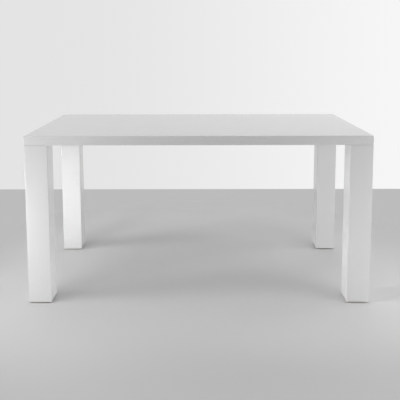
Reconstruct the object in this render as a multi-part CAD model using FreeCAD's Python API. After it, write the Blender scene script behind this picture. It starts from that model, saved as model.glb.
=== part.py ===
"""A parsons dining table: a hollow lacquered slab on four hollow square legs with levelling feet.

Millimetres. The origin is on the floor under the middle of the slab, +X runs along the length,
+Y to the back and +Z up.
"""

import FreeCAD, Part
import math
import os

# ---- driving dimensions -----------------------------------------------------------------------

# Overall
TABLE_LENGTH = 1500.0
TABLE_DEPTH = 800.0
TABLE_HEIGHT = 745.0
ARRIS_RADIUS = 2.0
SEAM_ARRIS_RADIUS = 1.0

# Slab
SLAB_THICKNESS = 40.0
SKIN_THICKNESS = 8.0
RAIL_WIDTH = 20.0
RIB_WIDTH = 18.0
CORE_STRIP_THICKNESS = 3.0
CORE_STRIP_PITCH = 80.0
BLOCK_OVERHANG = 20.0

# Legs
LEG_SIDE = 100.0
LEG_BOARD_THICKNESS = 16.0
TOP_BLOCK_LENGTH = 70.0
BOTTOM_BLOCK_LENGTH = 60.0

# Leg fixing: a plate under the slab with a threaded boss, and a double-ended stud
PLATE_MARGIN = 18.0
PLATE_THICKNESS = 4.0
PLATE_CORNER_RADIUS = 4.0
BOSS_RADIUS = 9.0
BOSS_HEIGHT = 16.0
STUD_RADIUS = 5.0
STUD_LENGTH_IN_LEG = 50.0
STUD_END_CHAMFER = 1.0
SCREW_RADIUS = 2.0
SCREW_HEAD_RADIUS = 4.2
SCREW_HEAD_HEIGHT = 2.2
SCREW_LENGTH = 25.0
SCREW_POINT_LENGTH = 4.0
SCREW_EDGE_DISTANCE = 8.0

# Levelling foot
FOOT_GAP = 4.5
GLIDE_RADIUS = 24.0
GLIDE_HEIGHT = 2.5
GLIDE_EDGE_RADIUS = 0.8
SPIGOT_RADIUS = 6.0
SPIGOT_HEIGHT = 2.0
DISC_ACROSS_FLATS = 36.0
DISC_HEIGHT = 5.0
DISC_CHAMFER = 0.6
STEM_RADIUS = 4.0
STEM_LENGTH = 38.0
STEM_END_CHAMFER = 0.8
INSERT_RADIUS = 6.0
INSERT_LENGTH = 20.0
INSERT_FLANGE_RADIUS = 9.0
INSERT_FLANGE_THICKNESS = 1.5

# Clearances
THREAD_CLEARANCE = 0.05
LET_IN_CLEARANCE = 0.2
SLOT_CLEARANCE = 0.1
GLIDE_CLEARANCE = 0.3
RECESS_CLEARANCE = 6.0
BORE_END_CLEARANCE = 2.0

# Edges closer together than this count as one place when they are picked
SAME_PLACE = 0.01

# ---- places worked out from them --------------------------------------------------------------

HALF_LENGTH = TABLE_LENGTH / 2
HALF_DEPTH = TABLE_DEPTH / 2
HALF_LEG = LEG_SIDE / 2

SLAB_BOTTOM = TABLE_HEIGHT - SLAB_THICKNESS
CORE_BOTTOM = SLAB_BOTTOM + SKIN_THICKNESS
CORE_TOP = TABLE_HEIGHT - SKIN_THICKNESS
CORE_HALF_LENGTH = HALF_LENGTH - RAIL_WIDTH
CORE_HALF_DEPTH = HALF_DEPTH - RAIL_WIDTH
CORNER_BLOCK_SIDE = LEG_SIDE + BLOCK_OVERHANG - RAIL_WIDTH

LEG_HOLLOW = LEG_SIDE - 2 * LEG_BOARD_THICKNESS
PLATE_SIDE = LEG_SIDE - 2 * PLATE_MARGIN
SCREW_OFFSET = PLATE_SIDE / 2 - SCREW_EDGE_DISTANCE
STUD_LENGTH_IN_SLAB = PLATE_THICKNESS + BOSS_HEIGHT

RECESS_RADIUS = GLIDE_RADIUS + RECESS_CLEARANCE
RECESS_CEILING = GLIDE_HEIGHT + DISC_HEIGHT
SPIGOT_POCKET_TOP = GLIDE_HEIGHT + SPIGOT_HEIGHT + GLIDE_CLEARANCE
STEM_BOTTOM = SPIGOT_POCKET_TOP + GLIDE_CLEARANCE
STEM_TOP = STEM_BOTTOM + STEM_LENGTH

# Each corner of the table by its name, with the side of X and the side of Y that it lies on
CORNERS = {
    "front_left": (-1, -1),
    "front_right": (1, -1),
    "back_left": (-1, 1),
    "back_right": (1, 1),
}

# Each face of a leg by its name, with the direction in degrees that it looks
LEG_FACES = {"right": 0, "back": 90, "left": 180, "front": 270}


# ---- shapes -----------------------------------------------------------------------------------

def box(x_low, x_high, y_low, y_high, z_low, z_high):
    """A box between two corners."""
    corner = FreeCAD.Vector(x_low, y_low, z_low)
    return Part.makeBox(x_high - x_low, y_high - y_low, z_high - z_low, corner)


def square_post(centre, side, z_low, z_high):
    """A square post about a vertical axis."""
    x, y = centre
    half = side / 2
    return box(x - half, x + half, y - half, y + half, z_low, z_high)


def rod(centre, radius, z_low, z_high):
    """A round rod about a vertical axis."""
    foot = FreeCAD.Vector(centre[0], centre[1], z_low)
    return Part.makeCylinder(radius, z_high - z_low, foot)


def cone(centre, low_radius, high_radius, z_low, z_high):
    """A cone about a vertical axis."""
    foot = FreeCAD.Vector(centre[0], centre[1], z_low)
    return Part.makeCone(low_radius, high_radius, z_high - z_low, foot)


def prism(points, z_low, z_high):
    """A straight prism over a polygon."""
    corners = [FreeCAD.Vector(x, y, z_low) for x, y in points]
    outline = Part.makePolygon(corners + corners[:1])
    return Part.Face(outline).extrude(FreeCAD.Vector(0, 0, z_high - z_low))


def softened(shape, seam_height, far_height):
    """The shape with rounded arrises, finer ones round the face where slab and leg meet."""
    rounded = shape.makeFillet(ARRIS_RADIUS, upright_edges(shape) + rim_edges(shape, far_height))
    return rounded.makeFillet(SEAM_ARRIS_RADIUS, rim_edges(rounded, seam_height))


def upright_edges(shape):
    """The vertical straight edges of a shape."""
    return [
        edge for edge in shape.Edges
        if max(edge.BoundBox.XLength, edge.BoundBox.YLength) < SAME_PLACE
    ]


def rim_edges(shape, height):
    """The edges of a shape that lie at one height."""
    return [
        edge for edge in shape.Edges
        if max(abs(edge.BoundBox.ZMin - height), abs(edge.BoundBox.ZMax - height)) < SAME_PLACE
    ]


def save(node, *solids):
    """Write one node as a STEP file, as a solid or as a group of solids."""
    shape = solids[0] if len(solids) == 1 else Part.makeCompound(list(solids))
    shape.exportStep(os.path.join("parts", node + ".step"))


# ---- places of the repeated pieces ------------------------------------------------------------

def leg_centre(corner):
    """The axis of the leg at a corner, in X and Y."""
    side_x, side_y = CORNERS[corner]
    return side_x * (HALF_LENGTH - HALF_LEG), side_y * (HALF_DEPTH - HALF_LEG)


def screw_centres(corner):
    """The axes of the four screws of one mounting plate."""
    x, y = leg_centre(corner)
    steps = (-SCREW_OFFSET, SCREW_OFFSET)
    return [(x + step_x, y + step_y) for step_x in steps for step_y in steps]


def corner_block_form(corner):
    """The corner block before it is drilled."""
    side_x, side_y = CORNERS[corner]
    outer_x, outer_y = side_x * CORE_HALF_LENGTH, side_y * CORE_HALF_DEPTH
    inner_x = outer_x - side_x * CORNER_BLOCK_SIDE
    inner_y = outer_y - side_y * CORNER_BLOCK_SIDE
    x_low, x_high = sorted((outer_x, inner_x))
    y_low, y_high = sorted((outer_y, inner_y))
    return box(x_low, x_high, y_low, y_high, CORE_BOTTOM, CORE_TOP)


# ---- slab -------------------------------------------------------------------------------------

def slab_form():
    """The whole slab from outside, with its rounded arrises."""
    board = box(-HALF_LENGTH, HALF_LENGTH, -HALF_DEPTH, HALF_DEPTH, SLAB_BOTTOM, TABLE_HEIGHT)
    return softened(board, SLAB_BOTTOM, TABLE_HEIGHT)


def slab_layer(z_low, z_high):
    """The part of the slab between two heights."""
    return slab_form().common(box(-TABLE_LENGTH, TABLE_LENGTH, -TABLE_DEPTH, TABLE_DEPTH, z_low, z_high))


def plate_pockets(corner):
    """What the mounting plate, its boss and its screws take out of the slab at one corner."""
    centre = leg_centre(corner)
    pocket_top = SLAB_BOTTOM + PLATE_THICKNESS
    plate_pocket = square_post(centre, PLATE_SIDE + 2 * LET_IN_CLEARANCE, SLAB_BOTTOM, pocket_top)
    boss_top = pocket_top + BOSS_HEIGHT + LET_IN_CLEARANCE
    boss_bore = rod(centre, BOSS_RADIUS + LET_IN_CLEARANCE, SLAB_BOTTOM, boss_top)
    screw_top = SLAB_BOTTOM + SCREW_LENGTH + LET_IN_CLEARANCE
    screw_bores = [
        rod(screw, SCREW_RADIUS + THREAD_CLEARANCE, SLAB_BOTTOM, screw_top)
        for screw in screw_centres(corner)
    ]
    return [plate_pocket, boss_bore] + screw_bores


def make_skins():
    """The two skins; the lower one is let in for the four mounting plates."""
    save("slab_top_skin", slab_layer(CORE_TOP, TABLE_HEIGHT))
    lower = slab_layer(SLAB_BOTTOM, CORE_BOTTOM)
    for corner in CORNERS:
        lower = lower.cut(plate_pockets(corner))
    save("slab_bottom_skin", lower)


def make_rails():
    """The four rails between the skins; the front and back ones run the full length."""
    frame = slab_layer(CORE_BOTTOM, CORE_TOP)
    regions = {
        "front": (-HALF_LENGTH, HALF_LENGTH, -HALF_DEPTH, -CORE_HALF_DEPTH),
        "back": (-HALF_LENGTH, HALF_LENGTH, CORE_HALF_DEPTH, HALF_DEPTH),
        "left": (-HALF_LENGTH, -CORE_HALF_LENGTH, -CORE_HALF_DEPTH, CORE_HALF_DEPTH),
        "right": (CORE_HALF_LENGTH, HALF_LENGTH, -CORE_HALF_DEPTH, CORE_HALF_DEPTH),
    }
    for side, region in regions.items():
        save(f"slab_{side}_rail", frame.common(box(*region, CORE_BOTTOM, CORE_TOP)))


def rib_positions():
    """The middles of the two cross ribs, which part the inside of the slab into three equal bays."""
    bay_length = (2 * CORE_HALF_LENGTH - 2 * RIB_WIDTH) / 3
    middle = (bay_length + RIB_WIDTH) / 2
    return {"left": -middle, "right": middle}


def make_ribs():
    """The two cross ribs."""
    for side, x in rib_positions().items():
        x_low, x_high = x - RIB_WIDTH / 2, x + RIB_WIDTH / 2
        rib = box(x_low, x_high, -CORE_HALF_DEPTH, CORE_HALF_DEPTH, CORE_BOTTOM, CORE_TOP)
        save(f"slab_{side}_rib", rib)


def strip_positions(low, high):
    """Evenly spaced strips between two walls, about one pitch apart and half a pitch off each wall."""
    count = max(1, round((high - low) / CORE_STRIP_PITCH))
    step = (high - low) / count
    return [low + step * (index + 0.5) for index in range(count)]


def core_strips(x_low, x_high):
    """The strips of one bay, along and across, halved into each other where they cross."""
    half = CORE_STRIP_THICKNESS / 2
    y_low, y_high = -CORE_HALF_DEPTH, CORE_HALF_DEPTH
    middle = (CORE_BOTTOM + CORE_TOP) / 2
    places_x = strip_positions(x_low, x_high)
    places_y = strip_positions(y_low, y_high)
    crossings = [(x, y) for x in places_x for y in places_y]
    slot_width = CORE_STRIP_THICKNESS + 2 * SLOT_CLEARANCE
    upper_slots = [square_post(crossing, slot_width, middle, CORE_TOP) for crossing in crossings]
    lower_slots = [square_post(crossing, slot_width, CORE_BOTTOM, middle) for crossing in crossings]
    across = [box(x - half, x + half, y_low, y_high, CORE_BOTTOM, CORE_TOP) for x in places_x]
    along = [box(x_low, x_high, y - half, y + half, CORE_BOTTOM, CORE_TOP) for y in places_y]
    halved = [strip.cut(upper_slots) for strip in across] + [strip.cut(lower_slots) for strip in along]
    return [solid for strip in halved for solid in strip.Solids]


def make_cores():
    """The three cores of slotted strips; the strips of the outer two stop at the corner blocks."""
    ribs = rib_positions()
    bays = {
        "left": (-CORE_HALF_LENGTH, ribs["left"] - RIB_WIDTH / 2),
        "middle": (ribs["left"] + RIB_WIDTH / 2, ribs["right"] - RIB_WIDTH / 2),
        "right": (ribs["right"] + RIB_WIDTH / 2, CORE_HALF_LENGTH),
    }
    blocks = [corner_block_form(corner) for corner in CORNERS]
    for side, bay in bays.items():
        strips = [solid for strip in core_strips(*bay) for solid in strip.cut(blocks).Solids]
        save(f"slab_{side}_core", *strips)


def make_corner_blocks():
    """The solid blocks inside the slab that hold the leg fixings."""
    for corner in CORNERS:
        save(f"{corner}_corner_block", corner_block_form(corner).cut(plate_pockets(corner)))


# ---- legs -------------------------------------------------------------------------------------

def leg_hollow(corner, z_low, z_high):
    """The space inside a leg's four boards between two heights."""
    return square_post(leg_centre(corner), LEG_HOLLOW, z_low, z_high)


def mitre_wedge(corner, direction):
    """The quarter of a leg's square that faces one direction, cut along the two mitres."""
    x, y = leg_centre(corner)
    reach = LEG_SIDE * math.sqrt(2)
    points = [(x, y)]
    for turn in (-45, 45):
        angle = math.radians(direction + turn)
        points.append((x + reach * math.cos(angle), y + reach * math.sin(angle)))
    return prism(points, 0, TABLE_HEIGHT)


def make_leg_boards(corner):
    """The four mitred boards of one leg."""
    post = square_post(leg_centre(corner), LEG_SIDE, FOOT_GAP, SLAB_BOTTOM)
    tube = softened(post, SLAB_BOTTOM, FOOT_GAP).cut(leg_hollow(corner, 0, TABLE_HEIGHT))
    for face, direction in LEG_FACES.items():
        save(f"{corner}_leg_{face}_board", tube.common(mitre_wedge(corner, direction)))


def make_leg_blocks(corner):
    """The blocks glued inside the two ends of one leg."""
    centre = leg_centre(corner)
    stud_bottom = SLAB_BOTTOM - STUD_LENGTH_IN_LEG - LET_IN_CLEARANCE
    stud_bore = rod(centre, STUD_RADIUS + THREAD_CLEARANCE, stud_bottom, SLAB_BOTTOM)
    top_block = leg_hollow(corner, SLAB_BOTTOM - TOP_BLOCK_LENGTH, SLAB_BOTTOM)
    save(f"{corner}_leg_top_block", top_block.cut(stud_bore))

    insert_top = RECESS_CEILING + INSERT_LENGTH
    flange_top = RECESS_CEILING + INSERT_FLANGE_THICKNESS
    hollows = [
        rod(centre, RECESS_RADIUS, FOOT_GAP, RECESS_CEILING),
        rod(centre, INSERT_FLANGE_RADIUS + THREAD_CLEARANCE, FOOT_GAP, flange_top),
        rod(centre, INSERT_RADIUS + THREAD_CLEARANCE, FOOT_GAP, insert_top),
        rod(centre, STEM_RADIUS + LET_IN_CLEARANCE, FOOT_GAP, STEM_TOP + BORE_END_CLEARANCE),
    ]
    bottom_block = leg_hollow(corner, FOOT_GAP, FOOT_GAP + BOTTOM_BLOCK_LENGTH)
    save(f"{corner}_leg_bottom_block", bottom_block.cut(hollows))


# ---- leg fixings ------------------------------------------------------------------------------

def make_mounting_plate(corner):
    """The plate under the slab with its threaded boss and four countersunk holes."""
    centre = leg_centre(corner)
    top = SLAB_BOTTOM + PLATE_THICKNESS
    plate = square_post(centre, PLATE_SIDE, SLAB_BOTTOM, top)
    plate = plate.makeFillet(PLATE_CORNER_RADIUS, upright_edges(plate))
    plate = plate.fuse(rod(centre, BOSS_RADIUS, SLAB_BOTTOM, top + BOSS_HEIGHT))
    holes = [rod(centre, STUD_RADIUS + THREAD_CLEARANCE, SLAB_BOTTOM, top + BOSS_HEIGHT)]
    for screw in screw_centres(corner):
        holes.append(rod(screw, SCREW_RADIUS + THREAD_CLEARANCE, SLAB_BOTTOM, top))
        holes.append(cone(screw, SCREW_HEAD_RADIUS + THREAD_CLEARANCE, SCREW_RADIUS + THREAD_CLEARANCE,
                          SLAB_BOTTOM, SLAB_BOTTOM + SCREW_HEAD_HEIGHT))
    save(f"{corner}_mounting_plate", plate.cut(holes).removeSplitter())


def plate_screw(centre):
    """One countersunk wood screw, its head flush with the plate."""
    head_top = SLAB_BOTTOM + SCREW_HEAD_HEIGHT
    point_bottom = SLAB_BOTTOM + SCREW_LENGTH - SCREW_POINT_LENGTH
    head = cone(centre, SCREW_HEAD_RADIUS, SCREW_RADIUS, SLAB_BOTTOM, head_top)
    shank = rod(centre, SCREW_RADIUS, head_top, point_bottom)
    point = cone(centre, SCREW_RADIUS, 0, point_bottom, SLAB_BOTTOM + SCREW_LENGTH)
    return head.fuse([shank, point]).removeSplitter()


def make_plate_screws():
    """All the screws of the mounting plates."""
    save("mounting_plate_screws", *[
        plate_screw(centre) for corner in CORNERS for centre in screw_centres(corner)
    ])


def leg_stud(corner):
    """One double-ended stud from a leg's top block into its mounting plate."""
    bottom = SLAB_BOTTOM - STUD_LENGTH_IN_LEG
    top = SLAB_BOTTOM + STUD_LENGTH_IN_SLAB
    stud = rod(leg_centre(corner), STUD_RADIUS, bottom, top)
    return stud.makeChamfer(STUD_END_CHAMFER, rim_edges(stud, bottom) + rim_edges(stud, top))


def make_leg_studs():
    """The studs of all four legs."""
    save("leg_studs", *[leg_stud(corner) for corner in CORNERS])


# ---- feet -------------------------------------------------------------------------------------

def foot_insert(corner):
    """One flanged insert in a leg's bottom block that the foot's stem screws into."""
    centre = leg_centre(corner)
    sleeve = rod(centre, INSERT_RADIUS, RECESS_CEILING, RECESS_CEILING + INSERT_LENGTH)
    flange = rod(centre, INSERT_FLANGE_RADIUS, RECESS_CEILING, RECESS_CEILING + INSERT_FLANGE_THICKNESS)
    bore = rod(centre, STEM_RADIUS + THREAD_CLEARANCE, RECESS_CEILING, RECESS_CEILING + INSERT_LENGTH)
    return sleeve.fuse(flange).removeSplitter().cut(bore)


def make_foot_inserts():
    """The inserts of all four feet."""
    save("foot_inserts", *[foot_insert(corner) for corner in CORNERS])


def make_foot_stem(corner):
    """The threaded stem of one foot."""
    stem = rod(leg_centre(corner), STEM_RADIUS, STEM_BOTTOM, STEM_TOP)
    save(f"{corner}_foot_stem", stem.makeChamfer(STEM_END_CHAMFER, rim_edges(stem, STEM_TOP)))


def make_foot_disc(corner):
    """The hexagonal disc on the stem, which rests against the insert when the foot is screwed in."""
    x, y = leg_centre(corner)
    corner_radius = DISC_ACROSS_FLATS / math.sqrt(3)
    angles = [math.radians(60 * index) for index in range(6)]
    hexagon = prism(
        [(x + corner_radius * math.cos(angle), y + corner_radius * math.sin(angle)) for angle in angles],
        GLIDE_HEIGHT, RECESS_CEILING,
    )
    turned = rod((x, y), corner_radius, GLIDE_HEIGHT, RECESS_CEILING)
    turned = turned.makeChamfer(DISC_CHAMFER, rim_edges(turned, RECESS_CEILING))
    stem_bore = rod((x, y), STEM_RADIUS + THREAD_CLEARANCE, GLIDE_HEIGHT, RECESS_CEILING)
    spigot_pocket = rod((x, y), SPIGOT_RADIUS + GLIDE_CLEARANCE, GLIDE_HEIGHT, SPIGOT_POCKET_TOP)
    save(f"{corner}_foot_disc", hexagon.common(turned).cut([stem_bore, spigot_pocket]))


def make_foot_glide(corner):
    """The nylon glide, which turns on its spigot under the disc."""
    centre = leg_centre(corner)
    sole = rod(centre, GLIDE_RADIUS, 0, GLIDE_HEIGHT)
    sole = sole.makeFillet(GLIDE_EDGE_RADIUS, rim_edges(sole, 0) + rim_edges(sole, GLIDE_HEIGHT))
    spigot = rod(centre, SPIGOT_RADIUS, 0, GLIDE_HEIGHT + SPIGOT_HEIGHT)
    save(f"{corner}_foot_glide", sole.fuse(spigot).removeSplitter())


# ---- the table --------------------------------------------------------------------------------

def main():
    """Write every piece of the table."""
    os.makedirs("parts", exist_ok=True)
    make_skins()
    make_rails()
    make_ribs()
    make_cores()
    make_corner_blocks()
    make_plate_screws()
    make_leg_studs()
    make_foot_inserts()
    for corner in CORNERS:
        make_leg_boards(corner)
        make_leg_blocks(corner)
        make_mounting_plate(corner)
        make_foot_stem(corner)
        make_foot_disc(corner)
        make_foot_glide(corner)


main()
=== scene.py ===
"""A white lacquered parsons dining table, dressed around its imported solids.

Metres, in the frame of the solids: the origin is on the floor under the middle of the slab, +X runs
along the length, +Y to the back and +Z up.
"""

import logging
import math
from collections.abc import Callable
from dataclasses import dataclass, field
from enum import Enum

import bpy
from mathutils import Matrix, Vector


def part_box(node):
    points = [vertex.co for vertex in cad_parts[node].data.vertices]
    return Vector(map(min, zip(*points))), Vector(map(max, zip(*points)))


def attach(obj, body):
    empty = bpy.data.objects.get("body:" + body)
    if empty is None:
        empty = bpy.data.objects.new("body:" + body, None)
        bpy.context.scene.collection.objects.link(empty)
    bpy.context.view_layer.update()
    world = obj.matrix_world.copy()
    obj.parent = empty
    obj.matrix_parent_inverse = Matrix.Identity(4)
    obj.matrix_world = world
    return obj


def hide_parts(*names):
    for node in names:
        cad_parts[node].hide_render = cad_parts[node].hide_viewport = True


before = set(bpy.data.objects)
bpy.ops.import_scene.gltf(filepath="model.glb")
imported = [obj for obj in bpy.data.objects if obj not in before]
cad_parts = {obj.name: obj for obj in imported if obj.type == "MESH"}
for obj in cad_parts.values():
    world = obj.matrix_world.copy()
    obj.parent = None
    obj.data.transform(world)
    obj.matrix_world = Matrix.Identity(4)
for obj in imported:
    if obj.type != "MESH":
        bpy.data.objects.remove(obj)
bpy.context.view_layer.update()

LOG = logging.getLogger("parsons_table")

MM = 0.001
# Two points nearer than this are in the same place
SAME_PLACE = 0.01 * MM
# A face lies level where the height of its unit normal is past this
LEVEL = 0.99


# ---- colours and nodes ------------------------------------------------------------------------

def linear(code: str) -> tuple[float, float, float, float]:
    """Turn an sRGB hex colour into linear light.

    Args:
        code: A hash and six hex digits.

    Returns:
        Red, green, blue and an alpha of one.
    """
    shares = [int(code[start:start + 2], 16) / 255 for start in (1, 3, 5)]
    red, green, blue = [
        share / 12.92 if share <= 0.04045 else ((share + 0.055) / 1.055) ** 2.4 for share in shares
    ]
    return red, green, blue, 1.0


def add_node(
    tree: bpy.types.NodeTree,
    kind: str,
    settings: dict | None = None,
    values: dict | None = None,
    links: dict | None = None,
) -> bpy.types.Node:
    """Add a shader node with its settings, its own socket values and its links.

    Args:
        tree: The node tree that gets the node.
        kind: The node's Blender type.
        settings: Properties of the node by name.
        values: Socket values by socket name or number.
        links: Output sockets that feed the node, by the name or number of its input.

    Returns:
        The new node.
    """
    node = tree.nodes.new(kind)
    for name, value in (settings or {}).items():
        setattr(node, name, value)
    for socket, value in (values or {}).items():
        node.inputs[socket].default_value = value
    for socket, source in (links or {}).items():
        tree.links.new(source, node.inputs[socket])
    return node


def start_material(name: str) -> tuple[bpy.types.Material, bpy.types.NodeTree, bpy.types.NodeSocket]:
    """Start a node material with nothing in it but the object's own coordinates.

    Args:
        name: The material's name.

    Returns:
        The material, its node tree and the coordinates.
    """
    material = bpy.data.materials.new(name)
    material.use_nodes = True
    tree = material.node_tree
    tree.nodes.clear()
    return material, tree, add_node(tree, "ShaderNodeTexCoord").outputs["Object"]


# ---- finishes ---------------------------------------------------------------------------------

@dataclass(frozen=True)
class Coat:
    """What all finishes share: a shader fed by a pattern on the object's own coordinates."""

    name: str

    def make(self) -> bpy.types.Material:
        """Build the node material.

        Returns:
            The material, named for the finish.
        """
        material, tree, place = start_material(self.name)
        links = self.pattern(tree, place)
        shader = add_node(tree, "ShaderNodeBsdfPrincipled", values=self.constants(), links=links)
        add_node(tree, "ShaderNodeOutputMaterial", links={"Surface": shader.outputs["BSDF"]})
        return material

    def constants(self) -> dict:
        """The values that are the same all over the surface, by socket."""
        raise NotImplementedError

    def pattern(self, tree: bpy.types.NodeTree, place: bpy.types.NodeSocket) -> dict:
        """Draw what varies over the surface.

        Args:
            tree: The material's node tree.
            place: The object coordinates.

        Returns:
            The outputs that feed the shader, by socket.
        """
        raise NotImplementedError


@dataclass(frozen=True)
class SprayedLacquer(Coat):
    """White two-pack polyurethane lacquer, sprayed on filled and sanded fibreboard and polished.

    The eye gets an even neutral white with a high gloss, which mirrors the room at a low angle. The
    spray's faint orange peel and the board's slow waviness soften what it mirrors.
    """

    name: str = "sprayed_white_lacquer"
    colour: str = "#E9E9E9"
    colour_thin: str = "#E6E6E6"
    roughness_low: float = 0.07
    roughness_high: float = 0.11
    ior: float = 1.5
    cloud_mm: float = 260.0
    # Real orange peel is 1 to 2 mm across; it is drawn coarser so that a render can show it
    peel_mm: float = 7.0
    peel_depth_mm: float = 0.003
    wave_mm: float = 160.0
    wave_depth_mm: float = 0.06

    def constants(self) -> dict:
        """The lacquer's index of refraction."""
        return {"IOR": self.ior}

    def pattern(self, tree: bpy.types.NodeTree, place: bpy.types.NodeSocket) -> dict:
        """Draw the lacquer's slight clouds, its waviness and its orange peel.

        Args:
            tree: The material's node tree.
            place: The object coordinates.

        Returns:
            Colour, roughness and normal.
        """
        clouds = add_node(
            tree, "ShaderNodeTexNoise",
            values={"Scale": 1 / (self.cloud_mm * MM), "Detail": 1.0}, links={"Vector": place},
        ).outputs["Fac"]
        colour = add_node(
            tree, "ShaderNodeMix", settings={"data_type": "RGBA"},
            values={6: linear(self.colour), 7: linear(self.colour_thin)}, links={0: clouds},
        ).outputs[2]
        roughness = add_node(
            tree, "ShaderNodeMapRange",
            values={"To Min": self.roughness_low, "To Max": self.roughness_high}, links={"Value": clouds},
        ).outputs["Result"]
        wave = add_node(
            tree, "ShaderNodeTexNoise",
            values={"Scale": 1 / (self.wave_mm * MM), "Detail": 0.0}, links={"Vector": place},
        ).outputs["Fac"]
        wavy = add_node(
            tree, "ShaderNodeBump", values={"Distance": self.wave_depth_mm * MM}, links={"Height": wave},
        ).outputs["Normal"]
        peel = add_node(
            tree, "ShaderNodeTexNoise",
            values={"Scale": 1 / (self.peel_mm * MM), "Detail": 1.0}, links={"Vector": place},
        ).outputs["Fac"]
        normal = add_node(
            tree, "ShaderNodeBump",
            values={"Distance": self.peel_depth_mm * MM}, links={"Height": peel, "Normal": wavy},
        ).outputs["Normal"]
        return {"Base Color": colour, "Roughness": roughness, "Normal": normal}


@dataclass(frozen=True)
class MouldedNylon(Coat):
    """Black nylon, injection moulded in a spark-eroded tool.

    The eye gets a dull black with a fine even texture, a little greyer where it has rubbed.
    """

    name: str = "moulded_black_nylon"
    colour: str = "#1C1C1D"
    colour_rubbed: str = "#2B2B2C"
    roughness_rubbed: float = 0.45
    roughness_fresh: float = 0.6
    ior: float = 1.53
    rub_mm: float = 9.0
    texture_mm: float = 0.8
    texture_depth_mm: float = 0.02

    def constants(self) -> dict:
        """The nylon's index of refraction."""
        return {"IOR": self.ior}

    def pattern(self, tree: bpy.types.NodeTree, place: bpy.types.NodeSocket) -> dict:
        """Draw the rubbed patches and the moulded texture.

        Args:
            tree: The material's node tree.
            place: The object coordinates.

        Returns:
            Colour, roughness and normal.
        """
        rubs = add_node(
            tree, "ShaderNodeTexNoise",
            values={"Scale": 1 / (self.rub_mm * MM), "Detail": 3.0}, links={"Vector": place},
        ).outputs["Fac"]
        colour = add_node(
            tree, "ShaderNodeMix", settings={"data_type": "RGBA"},
            values={6: linear(self.colour), 7: linear(self.colour_rubbed)}, links={0: rubs},
        ).outputs[2]
        roughness = add_node(
            tree, "ShaderNodeMapRange",
            values={"To Min": self.roughness_fresh, "To Max": self.roughness_rubbed}, links={"Value": rubs},
        ).outputs["Result"]
        texture = add_node(
            tree, "ShaderNodeTexNoise",
            values={"Scale": 1 / (self.texture_mm * MM), "Detail": 2.0}, links={"Vector": place},
        ).outputs["Fac"]
        normal = add_node(
            tree, "ShaderNodeBump",
            values={"Distance": self.texture_depth_mm * MM}, links={"Height": texture},
        ).outputs["Normal"]
        return {"Base Color": colour, "Roughness": roughness, "Normal": normal}


@dataclass(frozen=True)
class PlatedSteel(Coat):
    """Turned or pressed steel with an electroplated coat.

    The eye gets a metal sheen with small cloudy patches, and fine pits from the acid before plating.
    """

    name: str
    colour: str
    colour_cloud: str
    roughness_low: float
    roughness_high: float
    cloud_mm: float = 6.0
    pit_mm: float = 0.6
    pit_depth_mm: float = 0.006

    def constants(self) -> dict:
        """A bare metal coat."""
        return {"Metallic": 1.0}

    def pattern(self, tree: bpy.types.NodeTree, place: bpy.types.NodeSocket) -> dict:
        """Draw the plating's clouds and pits.

        Args:
            tree: The material's node tree.
            place: The object coordinates.

        Returns:
            Colour, roughness and normal.
        """
        clouds = add_node(
            tree, "ShaderNodeTexNoise",
            values={"Scale": 1 / (self.cloud_mm * MM), "Detail": 4.0}, links={"Vector": place},
        ).outputs["Fac"]
        colour = add_node(
            tree, "ShaderNodeMix", settings={"data_type": "RGBA"},
            values={6: linear(self.colour), 7: linear(self.colour_cloud)}, links={0: clouds},
        ).outputs[2]
        roughness = add_node(
            tree, "ShaderNodeMapRange",
            values={"To Min": self.roughness_low, "To Max": self.roughness_high}, links={"Value": clouds},
        ).outputs["Result"]
        pits = add_node(
            tree, "ShaderNodeTexNoise",
            values={"Scale": 1 / (self.pit_mm * MM), "Detail": 2.0}, links={"Vector": place},
        ).outputs["Fac"]
        normal = add_node(
            tree, "ShaderNodeBump", values={"Distance": self.pit_depth_mm * MM}, links={"Height": pits},
        ).outputs["Normal"]
        return {"Base Color": colour, "Roughness": roughness, "Normal": normal}


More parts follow.
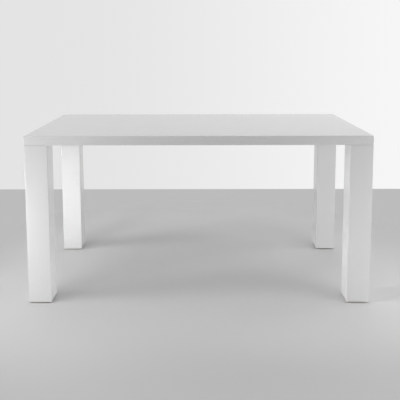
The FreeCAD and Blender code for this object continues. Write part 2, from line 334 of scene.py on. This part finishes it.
@dataclass(frozen=True)
class PlanedPine(Coat):
    """Pine, planed and left bare.

    The eye gets pale early wood and darker late wood: arcs on a block's ends and stripes up its sides,
    with fine fibres that take the shine off.
    """

    name: str = "planed_pine"
    early_wood: str = "#D9BE94"
    late_wood: str = "#B88F5E"
    ring_mm: float = 6.0
    # The wave texture's rings are this far apart at a scale of one
    ring_at_scale_one: float = 0.314
    pith: tuple[float, float, float] = (0.31, 0.17, 0.0)
    stretch: float = 0.06
    fibre_mm: float = 1.2
    fibre_depth_mm: float = 0.03
    fibre_share: float = 0.35
    roughness: float = 0.7
    ior: float = 1.5

    def constants(self) -> dict:
        """Bare wood is dull all over."""
        return {"Roughness": self.roughness, "IOR": self.ior}

    def pattern(self, tree: bpy.types.NodeTree, place: bpy.types.NodeSocket) -> dict:
        """Draw the growth rings about a pith outside the block, and the fibres along them.

        Args:
            tree: The material's node tree.
            place: The object coordinates.

        Returns:
            Colour and normal.
        """
        along = add_node(
            tree, "ShaderNodeMapping",
            values={"Location": self.pith, "Scale": (1.0, 1.0, self.stretch)}, links={"Vector": place},
        ).outputs["Vector"]
        scale = self.ring_at_scale_one / (self.ring_mm * MM)
        rings = add_node(
            tree, "ShaderNodeTexWave",
            settings={"wave_type": "RINGS", "rings_direction": "Z", "wave_profile": "SAW"},
            values={"Scale": scale, "Distortion": 1.2, "Detail": 2.0}, links={"Vector": along},
        ).outputs["Fac"]
        fibres = add_node(
            tree, "ShaderNodeTexNoise",
            values={"Scale": 1 / (self.fibre_mm * MM), "Detail": 3.0}, links={"Vector": along},
        ).outputs["Fac"]
        share = add_node(
            tree, "ShaderNodeMix", values={0: self.fibre_share}, links={2: rings, 3: fibres},
        ).outputs[0]
        colour = add_node(
            tree, "ShaderNodeMix", settings={"data_type": "RGBA"},
            values={6: linear(self.early_wood), 7: linear(self.late_wood)}, links={0: share},
        ).outputs[2]
        normal = add_node(
            tree, "ShaderNodeBump", values={"Distance": self.fibre_depth_mm * MM}, links={"Height": fibres},
        ).outputs["Normal"]
        return {"Base Color": colour, "Normal": normal}


@dataclass(frozen=True)
class PressedFibre(Coat):
    """Wood or paper fibres pressed into board and left bare: brown, dull and finely flecked."""

    name: str
    colour: str
    colour_fleck: str
    fleck_mm: float = 1.5
    fleck_depth_mm: float = 0.02
    roughness: float = 0.8
    ior: float = 1.5

    def constants(self) -> dict:
        """Bare board is dull all over."""
        return {"Roughness": self.roughness, "IOR": self.ior}

    def pattern(self, tree: bpy.types.NodeTree, place: bpy.types.NodeSocket) -> dict:
        """Draw the flecks.

        Args:
            tree: The material's node tree.
            place: The object coordinates.

        Returns:
            Colour and normal.
        """
        flecks = add_node(
            tree, "ShaderNodeTexNoise",
            values={"Scale": 1 / (self.fleck_mm * MM), "Detail": 4.0}, links={"Vector": place},
        ).outputs["Fac"]
        colour = add_node(
            tree, "ShaderNodeMix", settings={"data_type": "RGBA"},
            values={6: linear(self.colour), 7: linear(self.colour_fleck)}, links={0: flecks},
        ).outputs[2]
        normal = add_node(
            tree, "ShaderNodeBump", values={"Distance": self.fleck_depth_mm * MM}, links={"Height": flecks},
        ).outputs["Normal"]
        return {"Base Color": colour, "Normal": normal}


class Finish(Enum):
    """The finishes of the table's pieces."""

    LACQUER = SprayedLacquer()
    NYLON = MouldedNylon()
    # The name, the colour, the clouds' colour, and the roughness of the brightest and dullest patches
    BLACK_ZINC = PlatedSteel("black_zinc_plated_steel", "#33343A", "#26272B", 0.35, 0.5)
    BRIGHT_ZINC = PlatedSteel("bright_zinc_plated_steel", "#C4C6C8", "#AEB1B5", 0.28, 0.42)
    PINE = PlanedPine()
    # The name, the colour and the flecks' colour
    FIBREBOARD = PressedFibre("bare_fibreboard", "#A9835A", "#94704A")
    STRIP_BOARD = PressedFibre("brown_strip_board", "#B0906A", "#94754F")


Materials = dict[Finish, bpy.types.Material]


# ---- modelling --------------------------------------------------------------------------------

def start_afresh() -> None:
    """Leave edit mode and deselect everything, before a piece is added or picked."""
    if bpy.context.object is not None and bpy.context.object.mode != "OBJECT":
        bpy.ops.object.mode_set(mode="OBJECT")
    bpy.ops.object.select_all(action="DESELECT")


def settle(name: str) -> bpy.types.Object:
    """Name the active piece and move its place into its mesh.

    Args:
        name: The piece's name.

    Returns:
        The piece.
    """
    piece = bpy.context.object
    piece.name = piece.data.name = name
    bpy.ops.object.transform_apply(location=True, rotation=True, scale=True)
    return piece


def add_block(name: str, low: Vector, high: Vector) -> bpy.types.Object:
    """Add a block between two corners, as the start of a piece.

    Args:
        name: The new piece's name.
        low: The lowest corner.
        high: The highest corner.

    Returns:
        The block, selected and active.
    """
    start_afresh()
    bpy.ops.mesh.primitive_cube_add(size=1.0, location=(low + high) / 2)
    bpy.ops.transform.resize(value=high - low)
    return settle(name)


def pick_faces(piece: bpy.types.Object, wanted: Callable[[Vector, Vector], bool]) -> None:
    """Leave a piece in edit mode with only the faces selected that pass a test.

    Args:
        piece: The active piece.
        wanted: Says from a face's middle and normal whether it is picked.
    """
    bpy.ops.object.mode_set(mode="EDIT")
    bpy.ops.mesh.select_mode(type="FACE")
    bpy.ops.mesh.select_all(action="DESELECT")
    bpy.ops.object.mode_set(mode="OBJECT")
    for face in piece.data.polygons:
        face.select = wanted(face.center, face.normal)
    bpy.ops.object.mode_set(mode="EDIT")


def pick_edges(piece: bpy.types.Object, wanted: Callable[[Vector, Vector], bool]) -> None:
    """Leave a piece in edit mode with only the edges selected that pass a test.

    Args:
        piece: The active piece.
        wanted: Says from an edge's two ends whether it is picked.
    """
    bpy.ops.object.mode_set(mode="EDIT")
    bpy.ops.mesh.select_mode(type="EDGE")
    bpy.ops.mesh.select_all(action="DESELECT")
    bpy.ops.object.mode_set(mode="OBJECT")
    points = [vertex.co for vertex in piece.data.vertices]
    for edge in piece.data.edges:
        edge.select = wanted(*[points[index] for index in edge.vertices])
    bpy.ops.object.mode_set(mode="EDIT")


def round_edges(width: float, steps: int) -> None:
    """Round the picked edges off, over a width of both faces and in a number of steps."""
    bpy.ops.mesh.bevel(offset=width, segments=steps, profile=0.5, affect="EDGES")


def raise_faces(height: float) -> None:
    """Raise the picked faces by a height, with walls round them."""
    bpy.ops.mesh.extrude_region_move(TRANSFORM_OT_translate={"value": (0.0, 0.0, height)})


def mark_square(piece: bpy.types.Object, centre: Vector, side: float) -> None:
    """Part a level face along the four sides of a square, so that the square is a face of its own.

    Args:
        piece: The active piece.
        centre: The middle of the square, at the height of the face.
        side: The square's side.
    """
    for axis in (0, 1):
        for step in (-side / 2, side / 2):
            point, across = Vector(centre), Vector((0.0, 0.0, 0.0))
            point[axis] += step
            across[axis] = 1.0
            pick_faces(piece, lambda middle, normal: abs(middle.z - centre.z) < SAME_PLACE)
            bpy.ops.mesh.bisect(plane_co=point, plane_no=across)


def smooth(piece: bpy.types.Object, sharp_deg: float = 40.0) -> None:
    """Shade a piece smooth except across sharp edges, with its flat faces kept flat.

    Args:
        piece: The modelled piece.
        sharp_deg: The angle from which an edge stays sharp.
    """
    start_afresh()
    piece.select_set(True)
    bpy.context.view_layer.objects.active = piece
    bpy.ops.object.shade_smooth_by_angle(angle=math.radians(sharp_deg))
    weighting = piece.modifiers.new("flat_faces", "WEIGHTED_NORMAL")
    weighting.keep_sharp = True
    bpy.ops.object.modifier_apply(modifier=weighting.name)


def copy_to(piece: bpy.types.Object, name: str, place: Vector) -> bpy.types.Object:
    """Copy a piece with a mesh of its own, moved to its place.

    Args:
        piece: The piece to copy.
        name: The copy's name.
        place: How far the copy's mesh is moved.

    Returns:
        The copy.
    """
    copy = piece.copy()
    copy.data = piece.data.copy()
    copy.name = copy.data.name = name
    copy.data.transform(Matrix.Translation(place))
    bpy.context.scene.collection.objects.link(copy)
    return copy


def give(piece: bpy.types.Object, material: bpy.types.Material) -> None:
    """Dress a piece in one material."""
    piece.data.materials.clear()
    piece.data.materials.append(material)


def report(*pieces: bpy.types.Object) -> None:
    """Log the faces of each finished piece."""
    for piece in pieces:
        LOG.info("%s: %d faces", piece.name, len(piece.data.polygons))


# ---- the table's sub-assemblies ---------------------------------------------------------------

class Corner(Enum):
    """The table's four corners, by the name that their nodes begin with."""

    FRONT_LEFT = "front_left"
    FRONT_RIGHT = "front_right"
    BACK_LEFT = "back_left"
    BACK_RIGHT = "back_right"

    def axis(self, height: float = 0.0) -> Vector:
        """A point on the leg's axis, at floor height or at the height that is given."""
        low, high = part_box(f"{self.value}_leg_top_block")
        return Vector(((low.x + high.x) / 2, (low.y + high.y) / 2, height))


def copy_to_corners(model: bpy.types.Object, kind: str) -> dict[Corner, bpy.types.Object]:
    """Copy a piece from the origin to the four corners, and remove the one at the origin.

    Args:
        model: The piece, modelled about the origin.
        kind: What the copies' names say after the corner.

    Returns:
        The copy at each corner.
    """
    copies = {corner: copy_to(model, f"{corner.value}_{kind}", corner.axis()) for corner in Corner}
    bpy.data.objects.remove(model)
    return copies


@dataclass
class LacqueredBlock:
    """A block with rounded arrises, finer ones round the seam face, where slab and leg meet."""

    name: str
    low: Vector
    high: Vector
    seam_height: float
    arris: float = 2.0 * MM
    arris_steps: int = 6
    seam_arris: float = 1.0 * MM
    seam_arris_steps: int = 4

    def build(self) -> bpy.types.Object:
        """Model the block.

        Returns:
            The block with all its edges rounded.
        """
        piece = add_block(self.name, self.low, self.high)
        seam = self.seam_height
        pick_edges(piece, lambda one, two: max(abs(one.z - seam), abs(two.z - seam)) > SAME_PLACE)
        round_edges(self.arris, self.arris_steps)
        pick_edges(piece, lambda one, two: max(abs(one.z - seam), abs(two.z - seam)) < SAME_PLACE)
        round_edges(self.seam_arris, self.seam_arris_steps)
        return piece


@dataclass
class Slab:
    """The hollow slab, from outside one lacquered board with pockets for the mounting plates."""

    low: Vector = field(default_factory=lambda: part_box("slab_bottom_skin")[0])
    high: Vector = field(default_factory=lambda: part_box("slab_top_skin")[1])
    pocket_side: float = 64.4 * MM
    pocket_depth: float = 4.0 * MM
    rails: tuple[str, ...] = ("front", "back", "left", "right")
    ribs: tuple[str, ...] = ("left", "right")
    cores: tuple[str, ...] = ("left", "middle", "right")

    def build(self) -> bpy.types.Object:
        """Model the lacquered board.

        Returns:
            The board with its pockets.
        """
        piece = LacqueredBlock("lacquered_slab", self.low, self.high, self.low.z).build()
        centres = [corner.axis(self.low.z) for corner in Corner]
        for centre in centres:
            mark_square(piece, centre, self.pocket_side)
        pick_faces(piece, lambda middle, normal: any(
            (middle - centre).length < SAME_PLACE for centre in centres
        ))
        raise_faces(self.pocket_depth)
        smooth(piece)
        return piece

    def dress(self, piece: bpy.types.Object, materials: Materials) -> None:
        """Finish the board and what the slab holds inside.

        Args:
            piece: The lacquered board.
            materials: The material of each finish.
        """
        give(piece, materials[Finish.LACQUER])
        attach(piece, "table")
        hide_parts("slab_top_skin", "slab_bottom_skin", *[f"slab_{rail}_rail" for rail in self.rails])
        for rib in self.ribs:
            give(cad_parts[f"slab_{rib}_rib"], materials[Finish.FIBREBOARD])
        for core in self.cores:
            give(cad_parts[f"slab_{core}_core"], materials[Finish.STRIP_BOARD])
        for corner in Corner:
            give(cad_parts[f"{corner.value}_corner_block"], materials[Finish.PINE])


@dataclass
class Legs:
    """The four legs, hollow square boxes whose mitred boards the lacquer joins into one shell each."""

    low: Vector = field(default_factory=lambda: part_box("front_left_leg_left_board")[0])
    high: Vector = field(default_factory=lambda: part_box("front_left_leg_right_board")[1])
    hollow: float = 68.0 * MM
    seam_height: float = 0.8 * MM
    seam_depth: float = 1.5 * MM
    # A face is bare whose middle is nearer to the axis than this share of half the leg's side
    bare_share: float = 0.9
    boards: tuple[str, ...] = ("front", "back", "left", "right")
    blocks: tuple[str, ...] = ("top", "bottom")
    fixings: tuple[str, ...] = ("mounting_plate_screws", "leg_studs", "foot_inserts")

    def build(self) -> dict[Corner, bpy.types.Object]:
        """Model one leg shell about the origin and copy it to the four corners.

        Returns:
            The shell of each corner.
        """
        half = (self.high.x - self.low.x) / 2
        low, high = Vector((-half, -half, self.low.z)), Vector((half, half, self.high.z))
        shoulder = high - Vector((0.0, 0.0, self.seam_height))
        model = LacqueredBlock("leg_shell", low, shoulder, shoulder.z).build()
        self.raise_neck(model)
        for height in (low.z, high.z):
            mark_square(model, Vector((0.0, 0.0, height)), self.hollow)
        pick_faces(model, lambda middle, normal: abs(normal.z) > LEVEL and middle.xy.length < SAME_PLACE)
        bpy.ops.mesh.bridge_edge_loops()
        smooth(model)
        return copy_to_corners(model, "leg_shell")

    def raise_neck(self, piece: bpy.types.Object) -> None:
        """Raise a set-back neck to the slab, which leaves a fine groove at the seam.

        Args:
            piece: The leg, active, up to its shoulder.
        """
        pick_faces(piece, lambda middle, normal: normal.z > LEVEL and middle.xy.length < SAME_PLACE)
        bpy.ops.mesh.inset(thickness=self.seam_depth, depth=0.0)
        raise_faces(self.seam_height)

    def bare_board(self, shell: bpy.types.Object, corner: Corner, board: bpy.types.Material) -> None:
        """Leave the leg's ends and its inside as bare board, where no lacquer is sprayed.

        Args:
            shell: The leg shell.
            corner: The leg's corner.
            board: The bare board's material.
        """
        shell.data.materials.append(board)
        axis, reach = corner.axis(), (self.high.x - self.low.x) / 2 * self.bare_share
        for face in shell.data.polygons:
            away = face.center - axis
            face.material_index = int(max(abs(away.x), abs(away.y)) < reach)

    def dress(self, shells: dict[Corner, bpy.types.Object], materials: Materials) -> None:
        """Finish the legs, their blocks and their fixings.

        Args:
            shells: The leg shell of each corner.
            materials: The material of each finish.
        """
        for corner, shell in shells.items():
            give(shell, materials[Finish.LACQUER])
            self.bare_board(shell, corner, materials[Finish.FIBREBOARD])
            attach(shell, "table")
            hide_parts(*[f"{corner.value}_leg_{board}_board" for board in self.boards])
            for block in self.blocks:
                give(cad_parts[f"{corner.value}_leg_{block}_block"], materials[Finish.PINE])
            give(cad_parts[f"{corner.value}_mounting_plate"], materials[Finish.BRIGHT_ZINC])
        for fixing in self.fixings:
            give(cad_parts[fixing], materials[Finish.BRIGHT_ZINC])


@dataclass
class Glides:
    """The four nylon glides: a rounded sole with rings under it, and a spigot that the disc turns on."""

    low: Vector = field(default_factory=lambda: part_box("front_left_foot_glide")[0])
    high: Vector = field(default_factory=lambda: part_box("front_left_foot_glide")[1])
    sole_height: float = 2.5 * MM
    sole_edge: float = 0.8 * MM
    sole_edge_steps: int = 4
    sides: int = 96
    spigot_radius: float = 6.0 * MM
    ring_radii: tuple[float, ...] = (19.0 * MM, 14.0 * MM, 9.0 * MM)
    ring_width: float = 1.6 * MM
    ring_depth: float = 0.5 * MM

    def build(self) -> dict[Corner, bpy.types.Object]:
        """Model one glide about the origin and copy it to the four corners.

        Returns:
            The glide of each corner.
        """
        radius = (self.high.x - self.low.x) / 2
        start_afresh()
        bpy.ops.mesh.primitive_cylinder_add(
            vertices=self.sides, radius=radius, depth=self.sole_height,
            location=(0.0, 0.0, self.low.z + self.sole_height / 2),
        )
        model = settle("glide")
        pick_edges(model, lambda one, two: abs(one.z - two.z) < SAME_PLACE)
        round_edges(self.sole_edge, self.sole_edge_steps)
        flat = radius - self.sole_edge
        self.sink_rings(model, flat)
        self.raise_spigot(model, flat)
        smooth(model)
        return copy_to_corners(model, "moulded_glide")

    def sink_rings(self, piece: bpy.types.Object, flat: float) -> None:
        """Sink round grooves into the sole's underside, from the outside in.

        Args:
            piece: The glide, active.
            flat: The radius of the flat underside.
        """
        for ring in self.ring_radii:
            pick_faces(piece, lambda middle, normal: normal.z < -LEVEL and middle.xy.length < SAME_PLACE)
            bpy.ops.mesh.inset(thickness=flat - ring, depth=0.0)
            bpy.ops.mesh.inset(thickness=self.ring_depth, depth=-self.ring_depth)
            bpy.ops.mesh.inset(thickness=self.ring_width - 2 * self.ring_depth, depth=0.0)
            bpy.ops.mesh.inset(thickness=self.ring_depth, depth=self.ring_depth)
            flat = ring - self.ring_width

    def raise_spigot(self, piece: bpy.types.Object, flat: float) -> None:
        """Raise the spigot from the middle of the sole's top.

        Args:
            piece: The glide, active.
            flat: The radius of the flat top.
        """
        pick_faces(piece, lambda middle, normal: normal.z > LEVEL and middle.xy.length < SAME_PLACE)
        bpy.ops.mesh.inset(thickness=flat - self.spigot_radius, depth=0.0)
        raise_faces(self.high.z - self.low.z - self.sole_height)

    def dress(self, glides: dict[Corner, bpy.types.Object], materials: Materials) -> None:
        """Finish the glides and let them ride on their own bodies.

        Args:
            glides: The glide of each corner.
            materials: The material of each finish.
        """
        for corner, glide in glides.items():
            give(glide, materials[Finish.NYLON])
            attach(glide, f"{corner.value}_glide")
            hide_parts(f"{corner.value}_foot_glide")


@dataclass
class Stems:
    """The four threaded stems, and the plated discs that turn with them."""

    low: Vector = field(default_factory=lambda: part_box("front_left_foot_stem")[0])
    high: Vector = field(default_factory=lambda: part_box("front_left_foot_stem")[1])
    pitch: float = 1.25 * MM
    thread_depth: float = 0.65 * MM
    steps_per_turn: int = 48
    # Turns wound past the stem, so that both its ends can be cut flat
    spare_turns: int = 2
    weld: float = 0.001 * MM
    sharp_deg: float = 30.0

    def build(self) -> dict[Corner, bpy.types.Object]:
        """Wind one thread about the origin and copy it to the four corners.

        Returns:
            The stem of each corner.
        """
        model = self.flank_profile()
        winding = model.modifiers.new("thread", "SCREW")
        winding.screw_offset = self.pitch
        winding.iterations = math.ceil((self.high.z - self.low.z) / self.pitch) + self.spare_turns
        winding.steps = winding.render_steps = self.steps_per_turn
        winding.use_merge_vertices = True
        bpy.ops.object.modifier_apply(modifier=winding.name)
        self.trim(model)
        return copy_to_corners(model, "threaded_stem")

    def flank_profile(self) -> bpy.types.Object:
        """Draw the two flanks of one thread ridge.

        Returns:
            Two edges from root to crest to root, beside the axis.
        """
        start_afresh()
        bpy.ops.mesh.primitive_circle_add(vertices=3, radius=self.pitch, fill_type="NOTHING")
        piece = settle("stem")
        crest = (self.high.x - self.low.x) / 2
        root = crest - self.thread_depth
        start = self.low.z - self.pitch
        ridge = [(root, start), (crest, start + self.pitch / 2), (root, start + self.pitch)]
        for vertex, (radius, height) in zip(piece.data.vertices, ridge):
            vertex.co = (radius, 0.0, height)
        pick_edges(piece, lambda one, two: max(one.x, two.x) < crest - SAME_PLACE)
        bpy.ops.mesh.delete(type="EDGE")
        bpy.ops.object.mode_set(mode="OBJECT")
        return piece

    def trim(self, piece: bpy.types.Object) -> None:
        """Cut the wound thread flat at both ends and close it there.

        Args:
            piece: The wound thread, active.
        """
        bpy.ops.object.mode_set(mode="EDIT")
        for height, above in ((self.high.z, True), (self.low.z, False)):
            bpy.ops.mesh.select_all(action="SELECT")
            bpy.ops.mesh.bisect(
                plane_co=(0.0, 0.0, height), plane_no=(0.0, 0.0, 1.0), use_fill=True,
                clear_outer=above, clear_inner=not above, threshold=self.weld,
            )
        bpy.ops.mesh.select_all(action="SELECT")
        bpy.ops.mesh.remove_doubles(threshold=self.weld)
        bpy.ops.mesh.normals_make_consistent(inside=False)
        smooth(piece, self.sharp_deg)

    def dress(self, stems: dict[Corner, bpy.types.Object], materials: Materials) -> None:
        """Finish the stems and the discs, and let the stems ride on their own bodies.

        Args:
            stems: The stem of each corner.
            materials: The material of each finish.
        """
        for corner, stem in stems.items():
            give(stem, materials[Finish.BRIGHT_ZINC])
            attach(stem, f"{corner.value}_screw")
            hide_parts(f"{corner.value}_foot_stem")
            give(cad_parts[f"{corner.value}_foot_disc"], materials[Finish.BLACK_ZINC])


# ---- the studio -------------------------------------------------------------------------------

@dataclass(frozen=True)
class Softbox:
    """One soft square light, seen by neither the camera nor the gloss, and how wide its beam spreads."""

    name: str
    place: tuple[float, float, float]
    aim: tuple[float, float, float]
    side: float
    watts: float
    spread_deg: float = 180.0

    def make(self) -> bpy.types.Object:
        """Add the light, turned to its aim.

        Returns:
            The light.
        """
        data = bpy.data.lights.new(self.name, "AREA")
        data.shape = "SQUARE"
        data.size, data.energy = self.side, self.watts
        data.spread = math.radians(self.spread_deg)
        light = bpy.data.objects.new(self.name, data)
        light.location = self.place
        light.rotation_euler = (Vector(self.aim) - Vector(self.place)).to_track_quat("-Z", "Y").to_euler()
        light.visible_camera = False
        light.visible_glossy = False
        bpy.context.scene.collection.objects.link(light)
        return light


def eye_rays(tree: bpy.types.NodeTree) -> bpy.types.NodeSocket:
    """Tell the rays that show something to the eye from those that only carry light.

    Args:
        tree: The node tree that asks.

    Returns:
        One for a camera, glossy or transmission ray, and zero for the others.
    """
    path = add_node(tree, "ShaderNodeLightPath").outputs
    seen = path["Is Camera Ray"]
    for kind in ("Is Glossy Ray", "Is Transmission Ray"):
        seen = add_node(
            tree, "ShaderNodeMath", settings={"operation": "MAXIMUM"}, links={0: seen, 1: path[kind]},
        ).outputs["Value"]
    return seen


@dataclass(frozen=True)
class StagePaint:
    """What the wall and the floor share: matt paint, which a plain tone may stand in for to the eye."""

    name: str
    colour: str

    def make(self) -> bpy.types.Material:
        """Build the node material.

        Returns:
            The material, named for the paint.
        """
        material, tree, place = start_material(self.name)
        paint = add_node(
            tree, "ShaderNodeBsdfDiffuse", values={"Color": linear(self.colour)},
        ).outputs["BSDF"]
        surface = self.surface(tree, place, paint)
        add_node(tree, "ShaderNodeOutputMaterial", links={"Surface": surface})
        return material

    def surface(
        self, tree: bpy.types.NodeTree, place: bpy.types.NodeSocket, paint: bpy.types.NodeSocket,
    ) -> bpy.types.NodeSocket:
        """Say where the eye gets the paint and where a plain tone.

        Args:
            tree: The material's node tree.
            place: The object coordinates.
            paint: The paint's shader.

        Returns:
            The shader of the whole surface.
        """
        raise NotImplementedError


@dataclass(frozen=True)
class WallPaint(StagePaint):
    """White matt paint on the studio's wall.

    The eye gets a plain pale wall whatever the lamps do, with painted light that makes it a little brighter
    to the right. The light that it throws back on the table is that of white paint, and from behind it is
    clear and hides nothing.
    """

    name: str = "white_wall_paint"
    colour: str = "#F0F0F0"
    # Painted light: the plain tone the eye gets, darker to the left and brighter to the right, as light
    # falls on the wall
    seen_left: str = "#E4E4E4"
    seen_right: str = "#F8F8F8"
    # Metres along the wall from the table's middle
    fade_start: float = -1.2
    fade_end: float = 2.2

    def surface(
        self, tree: bpy.types.NodeTree, place: bpy.types.NodeSocket, paint: bpy.types.NodeSocket,
    ) -> bpy.types.NodeSocket:
        """Give the eye a plain tone from the front, with painted light brighter to the right, and nothing
        from behind.

        Args:
            tree: The material's node tree.
            place: The object coordinates.
            paint: The paint's shader.

        Returns:
            The shader of the whole surface.
        """
        across = add_node(tree, "ShaderNodeSeparateXYZ", links={"Vector": place}).outputs["X"]
        share = add_node(
            tree, "ShaderNodeMapRange", settings={"interpolation_type": "SMOOTHSTEP"},
            values={"From Min": self.fade_start, "From Max": self.fade_end}, links={"Value": across},
        ).outputs["Result"]
        # Painted light, from the darker left tone to the brighter right tone
        tone = add_node(
            tree, "ShaderNodeMix", settings={"data_type": "RGBA"},
            values={6: linear(self.seen_left), 7: linear(self.seen_right)}, links={0: share},
        ).outputs[2]
        plain = add_node(tree, "ShaderNodeEmission", links={"Color": tone}).outputs["Emission"]
        front = add_node(
            tree, "ShaderNodeMixShader", links={0: eye_rays(tree), 1: paint, 2: plain},
        ).outputs["Shader"]
        clear = add_node(tree, "ShaderNodeBsdfTransparent").outputs["BSDF"]
        behind = add_node(tree, "ShaderNodeNewGeometry").outputs["Backfacing"]
        return add_node(tree, "ShaderNodeMixShader", links={0: behind, 1: front, 2: clear}).outputs["Shader"]


@dataclass(frozen=True)
class FloorPaint(StagePaint):
    """Pale grey matt paint on the studio's floor.

    The eye gets a floor that takes the table's shadows, and that runs out into a plain tone far from it.
    """

    name: str = "pale_grey_floor_paint"
    colour: str = "#DCDCDC"
    seen_far: str = "#BCBCBC"
    # Metres from the table's middle, between which the paint runs out
    near: float = 0.9
    far: float = 1.4

    def surface(
        self, tree: bpy.types.NodeTree, place: bpy.types.NodeSocket, paint: bpy.types.NodeSocket,
    ) -> bpy.types.NodeSocket:
        """Let the paint run out into a plain tone, further and further from the table.

        Args:
            tree: The material's node tree.
            place: The object coordinates.
            paint: The paint's shader.

        Returns:
            The shader of the whole surface.
        """
        distance = add_node(
            tree, "ShaderNodeVectorMath", settings={"operation": "LENGTH"}, links={0: place},
        ).outputs["Value"]
        share = add_node(
            tree, "ShaderNodeMapRange", settings={"interpolation_type": "SMOOTHSTEP"},
            values={"From Min": self.near, "From Max": self.far}, links={"Value": distance},
        ).outputs["Result"]
        away = add_node(
            tree, "ShaderNodeMath", settings={"operation": "MULTIPLY"}, links={0: share, 1: eye_rays(tree)},
        ).outputs["Value"]
        plain = add_node(
            tree, "ShaderNodeEmission", values={"Color": linear(self.seen_far)},
        ).outputs["Emission"]
        return add_node(tree, "ShaderNodeMixShader", links={0: away, 1: paint, 2: plain}).outputs["Shader"]


@dataclass
class Room:
    """The pale floor, the white wall behind the table, and the even light that fills the room."""

    floor_paint: FloorPaint = FloorPaint()
    wall_paint: WallPaint = WallPaint()
    width: float = 30.0
    wall_place: float = 1.70
    wall_height: float = 8.0
    fill_colour: str = "#FFFFFF"
    fill_strength: float = 0.20
    backdrop_colour: str = "#E6E6E6"

    def build(self) -> None:
        """Lay the floor, stand the wall and fill the room with light."""
        start_afresh()
        bpy.ops.mesh.primitive_plane_add(size=self.width)
        floor = settle("studio_floor")
        give(floor, self.floor_paint.make())
        start_afresh()
        bpy.ops.mesh.primitive_plane_add(
            size=1.0, location=(0.0, self.wall_place, self.wall_height / 2),
            rotation=(math.radians(90), 0.0, 0.0),
        )
        bpy.ops.transform.resize(value=(self.width, 1.0, self.wall_height))
        wall = settle("studio_wall")
        give(wall, self.wall_paint.make())
        self.add_fill()

    def add_fill(self) -> None:
        """Fill the room with even light, and show a pale backdrop where the eye looks past the wall."""
        world = bpy.data.worlds.new("studio_fill")
        bpy.context.scene.world = world
        world.use_nodes = True
        tree = world.node_tree
        tree.nodes.clear()
        fill = add_node(
            tree, "ShaderNodeBackground",
            values={"Color": linear(self.fill_colour), "Strength": self.fill_strength},
        ).outputs["Background"]
        backdrop = add_node(
            tree, "ShaderNodeBackground", values={"Color": linear(self.backdrop_colour)},
        ).outputs["Background"]
        either = add_node(tree, "ShaderNodeMixShader", links={0: eye_rays(tree), 1: fill, 2: backdrop})
        add_node(tree, "ShaderNodeOutputWorld", links={"Surface": either.outputs["Shader"]})


@dataclass
class Viewpoint:
    """The camera: its place and turn in the room, and its lens in pixels of a square frame."""

    eye: tuple[float, float, float] = (0.0, -2.959, 1.139)
    pitch_deg: float = 6.48
    yaw_deg: float = -0.19
    roll_deg: float = -0.13
    frame_px: float = 400.0
    focal_px: float = 605.4
    axis_px: tuple[float, float] = (196.5, 112.0)
    sensor_mm: float = 36.0

    def make(self) -> bpy.types.Object:
        """Add the camera and look through it.

        Returns:
            The camera.
        """
        data = bpy.data.cameras.new("studio_camera")
        data.sensor_width = self.sensor_mm
        data.lens = self.focal_px / self.frame_px * self.sensor_mm
        data.shift_x = (self.frame_px / 2 - self.axis_px[0]) / self.frame_px
        data.shift_y = (self.axis_px[1] - self.frame_px / 2) / self.frame_px
        camera = bpy.data.objects.new("studio_camera", data)
        turn = Matrix.Rotation(-math.radians(self.yaw_deg), 4, "Z")
        tilt = Matrix.Rotation(math.radians(90.0 - self.pitch_deg), 4, "X")
        lean = Matrix.Rotation(math.radians(self.roll_deg), 4, "Z")
        camera.matrix_world = Matrix.Translation(self.eye) @ turn @ tilt @ lean
        bpy.context.scene.collection.objects.link(camera)
        bpy.context.scene.camera = camera
        return camera


@dataclass
class Studio:
    """The room, its lights and the camera."""

    room: Room = field(default_factory=Room)
    # The name, the place, the aim, the side, the watts, and the spread of a narrow beam in degrees
    softboxes: tuple[Softbox, ...] = (
        Softbox("far_left", (-6.0, -1.5, 2.6), (0.0, 0.0, 0.4), 2.0, 110.0),
        Softbox("low_right", (2.5, 0.4, 0.5), (0.0, 0.0, 0.4), 1.0, 12.0),
        Softbox("front_left", (-1.6, -1.3, 0.7), (-0.5, -0.2, 0.5), 0.8, 9.5),
        Softbox("front_right", (1.6, -0.9, 0.5), (0.3, -0.1, 0.4), 0.8, 6.8),
        Softbox("overhead_left", (-1.3, -0.3, 2.4), (-0.65, -0.15, 0.0), 1.4, 7.6),
        Softbox("overhead_right", (1.3, -0.3, 2.4), (0.65, -0.15, 0.0), 1.4, 7.6),
        Softbox("overhead_back", (0.8, 1.5, 1.8), (0.2, 0.3, 0.35), 1.2, 6.0),
        Softbox("right_leg_beam", (-1.2, -0.95, 0.4), (0.66, -0.36, 0.22), 0.4, 0.25, 25.0),
        Softbox("left_leg_beam", (1.2, -0.95, 0.3), (-0.66, -0.36, 0.12), 0.4, 0.16, 25.0),
        Softbox("back_leg_beam", (-1.9, -2.4, 0.5), (-0.78, 0.3, 0.3), 0.4, 0.5, 20.0),
    )
    viewpoint: Viewpoint = field(default_factory=Viewpoint)

    def build(self) -> None:
        """Set the whole studio up."""
        self.room.build()
        for softbox in self.softboxes:
            softbox.make()
        self.viewpoint.make()
        bpy.context.scene.view_settings.view_transform = "Standard"


# ---- the whole --------------------------------------------------------------------------------


def main() -> None:
    """Build the studio and each sub-assembly in order, and report every piece."""
    logging.basicConfig(level=logging.INFO, format="%(name)s: %(message)s")
    Studio().build()
    materials = {finish: finish.value.make() for finish in Finish}

    slab = Slab()
    board = slab.build()
    slab.dress(board, materials)
    report(board)

    for assembly in (Legs(), Glides(), Stems()):
        pieces = assembly.build()
        assembly.dress(pieces, materials)
        report(*pieces.values())


if __name__ == "__main__":
    main()
